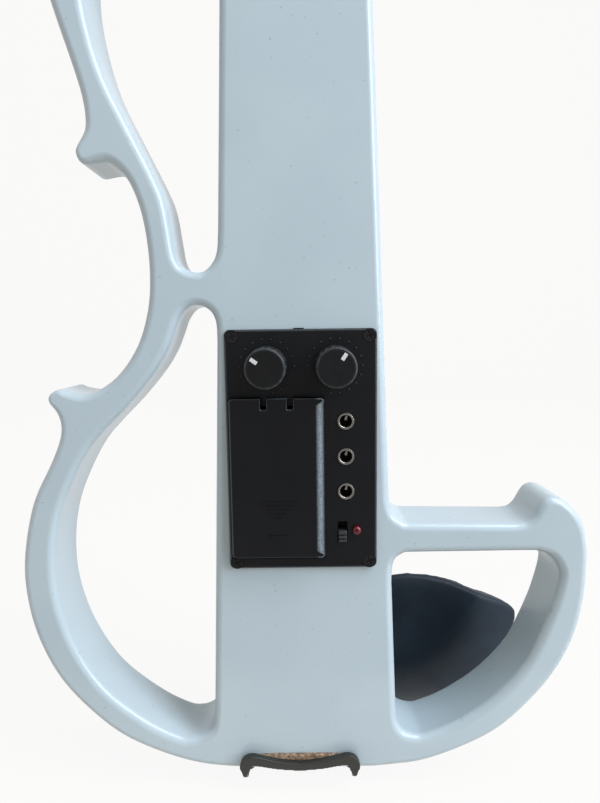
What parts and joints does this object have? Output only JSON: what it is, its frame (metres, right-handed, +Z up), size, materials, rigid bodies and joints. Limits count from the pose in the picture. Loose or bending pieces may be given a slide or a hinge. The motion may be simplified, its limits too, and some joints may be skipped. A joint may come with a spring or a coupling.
{
  "type": "electric violin",
  "caption": "Solid-plank electric violin with an open treble outline, a chin-rest loop, and a back panel of knobs, jacks, switch and battery door.",
  "frame": {"origin": "middle of the neck 10 mm below the nut, where a stand or wall hook holds the violin", "axes": "+Z up the neck to the scroll, +Y out of the back, -Y the strings, +X the treble side"},
  "size_m": [0.2107, 0.0741, 0.5978],
  "materials": {
    "lacquer": "pale blue-white gloss lacquer over wood",
    "ebony": "oiled ebony",
    "string_steel": "flat-wound steel",
    "maple": "unvarnished maple",
    "pickup_brass": "brass strip",
    "cable": "matte insulation",
    "black_plastic": "satin moulded plastic",
    "bright_steel": "nickel plated",
    "nickel": "nickel plated",
    "gut": "nylon cord",
    "navy_plastic": "matte moulded plastic",
    "cork": "natural cork",
    "grey_metal": "dark grey plated metal",
    "black_screw": "black oxide",
    "switch_body": "moulded switch body",
    "red_lens": "red diffused lens",
    "circuit_board": "solder resist",
    "battery_case": "printed steel case"
  },
  "bodies": {
    "root": {"body": "lacquer", "neck": "lacquer", "fingerboard": "ebony", "nut": "ebony", "string_g": "string_steel", "string_d": "string_steel", "string_a": "string_steel", "string_e": "string_steel", "bridge": "maple", "bridge_pickup": "pickup_brass", "pickup_lead": "cable", "tailpiece": "black_plastic", "tail_gut": "gut", "end_button": "ebony", "saddle": "ebony", "chinrest": "navy_plastic", "chinrest_cork_pads": "cork", "clamp_upper_bracket": "grey_metal", "control_panel": "black_plastic", "battery_tray": "black_plastic", "panel_screws": "black_screw", "volume_pot": "bright_steel", "tone_pot": "bright_steel", "line_out_jack": "nickel", "mic_jack": "nickel", "phone_jack": "nickel", "power_switch": "switch_body", "power_led": "red_lens", "circuit_board": "circuit_board", "battery": "battery_case", "battery_snap": "cable"},
    "peg_g": {"peg_g": "ebony"},
    "tuner_screw_g": {"tuner_screw_g": "bright_steel"},
    "tuner_knob_g": {"tuner_knob_g": "bright_steel"},
    "tuner_lever_g": {"tuner_lever_g": "bright_steel"},
    "peg_d": {"peg_d": "ebony"},
    "tuner_screw_d": {"tuner_screw_d": "bright_steel"},
    "tuner_knob_d": {"tuner_knob_d": "bright_steel"},
    "tuner_lever_d": {"tuner_lever_d": "bright_steel"},
    "peg_a": {"peg_a": "ebony"},
    "tuner_screw_a": {"tuner_screw_a": "bright_steel"},
    "tuner_knob_a": {"tuner_knob_a": "bright_steel"},
    "tuner_lever_a": {"tuner_lever_a": "bright_steel"},
    "peg_e": {"peg_e": "ebony"},
    "tuner_screw_e": {"tuner_screw_e": "bright_steel"},
    "tuner_knob_e": {"tuner_knob_e": "bright_steel"},
    "tuner_lever_e": {"tuner_lever_e": "bright_steel"},
    "volume_knob": {"volume_knob": "black_plastic", "volume_spindle": "bright_steel"},
    "tone_knob": {"tone_knob": "black_plastic", "tone_spindle": "bright_steel"},
    "switch_slider": {"switch_slider": "black_plastic"},
    "battery_door": {"battery_door": "black_plastic"},
    "clamp_barrel_treble": {"clamp_barrel_treble": "bright_steel"},
    "clamp_barrel_bass": {"clamp_barrel_bass": "bright_steel"},
    "clamp_lower_bracket": {"clamp_lower_bracket": "grey_metal", "clamp_cork_strip": "cork"}
  },
  "joints": [
    {"name": "peg_turn_g", "type": "hinge", "parent": "root", "child": "peg_g", "pos_m": [0, 0.00233, 0.02751], "axis": [1, 0, 0], "range_deg": [-270, 90], "deforming": ["string_g"]},
    {"name": "peg_turn_d", "type": "hinge", "parent": "root", "child": "peg_d", "pos_m": [0, 0.01274, 0.05686], "axis": [1, 0, 0], "range_deg": [-270, 90], "deforming": ["string_d"]},
    {"name": "peg_turn_a", "type": "hinge", "parent": "root", "child": "peg_a", "pos_m": [0, 0.0171, 0.07227], "axis": [1, 0, 0], "range_deg": [-270, 90], "deforming": ["string_a"]},
    {"name": "peg_turn_e", "type": "hinge", "parent": "root", "child": "peg_e", "pos_m": [0, 0.00742, 0.0417], "axis": [1, 0, 0], "range_deg": [-270, 90], "deforming": ["string_e"]},
    {"name": "tuner_travel_g", "type": "slide", "parent": "root", "child": "tuner_screw_g", "axis": [0, 0.9986, 0.0523], "range_m": [0, 0.0025]},
    {"name": "tuner_turn_g", "type": "hinge", "parent": "tuner_screw_g", "child": "tuner_knob_g", "pos_m": [-0.0153, -0.01901, -0.39259], "axis": [0, 0.9986, 0.0523], "range_deg": [0, 1800]},
    {"name": "tuner_lever_pivot_g", "type": "hinge", "parent": "root", "child": "tuner_lever_g", "pos_m": [-0.0153, -0.01396, -0.3743], "axis": [1, 0, 0], "range_deg": [0, 7.96]},
    {"name": "tuner_travel_d", "type": "slide", "parent": "root", "child": "tuner_screw_d", "axis": [0, 0.9986, 0.0523], "range_m": [0, 0.0025]},
    {"name": "tuner_turn_d", "type": "hinge", "parent": "tuner_screw_d", "child": "tuner_knob_d", "pos_m": [-0.0051, -0.02188, -0.39274], "axis": [0, 0.9986, 0.0523], "range_deg": [0, 1800]},
    {"name": "tuner_lever_pivot_d", "type": "hinge", "parent": "root", "child": "tuner_lever_d", "pos_m": [-0.0051, -0.01683, -0.37445], "axis": [1, 0, 0], "range_deg": [0, 7.96]},
    {"name": "tuner_travel_a", "type": "slide", "parent": "root", "child": "tuner_screw_a", "axis": [0, 0.9986, 0.0523], "range_m": [0, 0.0025]},
    {"name": "tuner_turn_a", "type": "hinge", "parent": "tuner_screw_a", "child": "tuner_knob_a", "pos_m": [0.0051, -0.02188, -0.39274], "axis": [0, 0.9986, 0.0523], "range_deg": [0, 1800]},
    {"name": "tuner_lever_pivot_a", "type": "hinge", "parent": "root", "child": "tuner_lever_a", "pos_m": [0.0051, -0.01683, -0.37445], "axis": [1, 0, 0], "range_deg": [0, 7.96]},
    {"name": "tuner_travel_e", "type": "slide", "parent": "root", "child": "tuner_screw_e", "axis": [0, 0.9986, 0.0523], "range_m": [0, 0.0025]},
    {"name": "tuner_turn_e", "type": "hinge", "parent": "tuner_screw_e", "child": "tuner_knob_e", "pos_m": [0.0153, -0.01901, -0.39259], "axis": [0, 0.9986, 0.0523], "range_deg": [0, 1800]},
    {"name": "tuner_lever_pivot_e", "type": "hinge", "parent": "root", "child": "tuner_lever_e", "pos_m": [0.0153, -0.01396, -0.3743], "axis": [1, 0, 0], "range_deg": [0, 7.96]},
    {"name": "volume_turn", "type": "hinge", "parent": "root", "child": "volume_knob", "pos_m": [0.01205, 0.02764, -0.3194], "axis": [0, -1, 0], "range_deg": [-95, 205]},
    {"name": "tone_turn", "type": "hinge", "parent": "root", "child": "tone_knob", "pos_m": [-0.01205, 0.02764, -0.3194], "axis": [0, -1, 0], "range_deg": [-184, 116]},
    {"name": "power_slide", "type": "slide", "parent": "root", "child": "switch_slider", "axis": [0, 0, 1], "range_m": [0, 0.0034]},
    {"name": "battery_door_slide", "type": "slide", "parent": "root", "child": "battery_door", "axis": [0, 0, -1], "range_m": [0, 0.056]},
    {"name": "barrel_turn_treble", "type": "hinge", "parent": "root", "child": "clamp_barrel_treble", "pos_m": [0.0233, 0.01014, -0.4805], "axis": [0, 1, 0], "range_deg": [0, 1080]},
    {"name": "barrel_turn_bass", "type": "hinge", "parent": "root", "child": "clamp_barrel_bass", "pos_m": [-0.0187, 0.01014, -0.4805], "axis": [0, 1, 0], "range_deg": [0, 1080]},
    {"name": "clamp_slide", "type": "slide", "parent": "root", "child": "clamp_lower_bracket", "axis": [0, 1, 0], "range_m": [0, 0.0042]}
  ],
  "couplings": [
    {"joint": "tuner_travel_g", "follows": "tuner_turn_g", "m_per_rad": 0.000079577},
    {"joint": "tuner_lever_pivot_g", "follows": "tuner_turn_g", "ratio": 0.004421},
    {"joint": "tuner_travel_d", "follows": "tuner_turn_d", "m_per_rad": 0.000079577},
    {"joint": "tuner_lever_pivot_d", "follows": "tuner_turn_d", "ratio": 0.004421},
    {"joint": "tuner_travel_a", "follows": "tuner_turn_a", "m_per_rad": 0.000079577},
    {"joint": "tuner_lever_pivot_a", "follows": "tuner_turn_a", "ratio": 0.004421},
    {"joint": "tuner_travel_e", "follows": "tuner_turn_e", "m_per_rad": 0.000079577},
    {"joint": "tuner_lever_pivot_e", "follows": "tuner_turn_e", "ratio": 0.004421},
    {"joint": "barrel_turn_bass", "follows": "barrel_turn_treble", "ratio": 1},
    {"joint": "clamp_slide", "follows": "barrel_turn_treble", "m_per_rad": 0.00022282}
  ]
}
